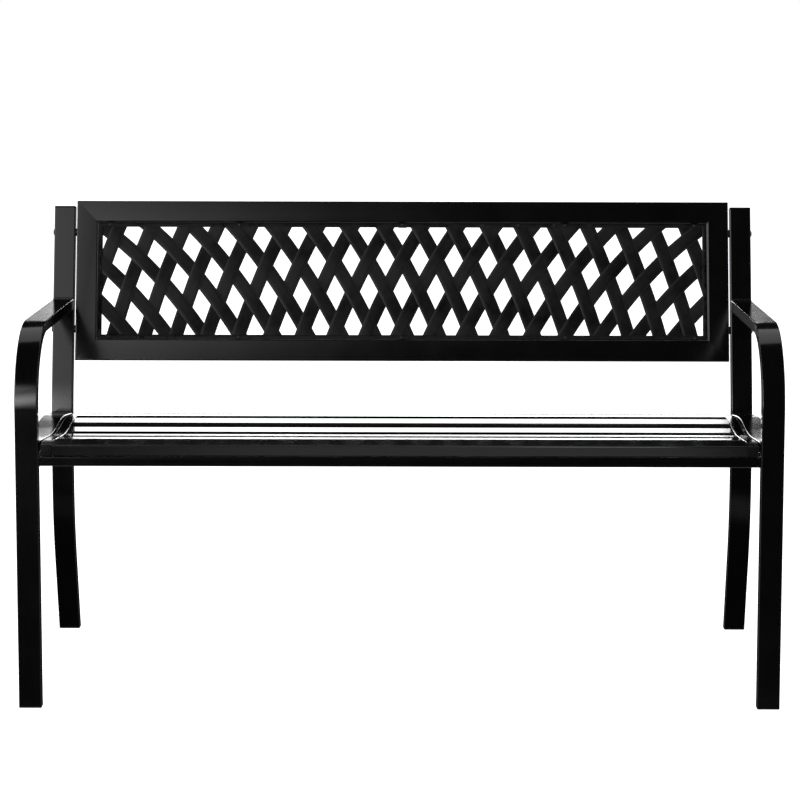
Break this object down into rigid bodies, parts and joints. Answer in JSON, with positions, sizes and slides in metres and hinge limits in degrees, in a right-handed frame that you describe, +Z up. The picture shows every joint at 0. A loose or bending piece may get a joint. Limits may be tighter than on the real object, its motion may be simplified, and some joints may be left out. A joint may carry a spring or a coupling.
{
  "type": "park bench",
  "caption": "Park bench with bent tube side frames and arms, a dished slatted seat and a framed lattice back panel.",
  "frame": {"origin": "centre of the bench's outline on the ground", "axes": "+X along the bench to the right as seen from the front, +Y from the seat front to the back, +Z up"},
  "size_m": [1.2748, 0.5414, 0.7946],
  "materials": {
    "coated_steel": "satin",
    "black_hardware": "satin",
    "plug_plastic": "matte",
    "lattice_plastic": "satin"
  },
  "bodies": {
    "root": {"left_arm_leg_tube": "coated_steel", "right_arm_leg_tube": "coated_steel", "left_rear_leg_tube": "coated_steel", "right_rear_leg_tube": "coated_steel", "left_seat_rail": "coated_steel", "right_seat_rail": "coated_steel", "front_beam": "coated_steel", "rear_beam": "coated_steel", "left_seat_end_bar": "coated_steel", "right_seat_end_bar": "coated_steel", "seat_front_rail": "coated_steel", "seat_slat_1": "coated_steel", "seat_slat_2": "coated_steel", "seat_slat_3": "coated_steel", "seat_slat_4": "coated_steel", "seat_slat_5": "coated_steel", "seat_rear_rail": "coated_steel", "seat_stay": "coated_steel", "back_top_rail": "coated_steel", "back_bottom_rail": "coated_steel", "back_left_stile": "coated_steel", "back_right_stile": "coated_steel", "lattice_tabs": "coated_steel", "panel_bolts": "black_hardware", "panel_spacers": "black_hardware", "panel_nuts": "black_hardware", "seat_bolts": "black_hardware", "seat_spacers": "black_hardware", "seat_nuts": "black_hardware", "lattice_screws": "black_hardware", "front_foot_plugs": "plug_plastic", "rear_foot_plugs": "plug_plastic", "post_top_plugs": "plug_plastic", "end_bar_plugs": "plug_plastic", "back_lattice": "lattice_plastic"}
  },
  "joints": []
}
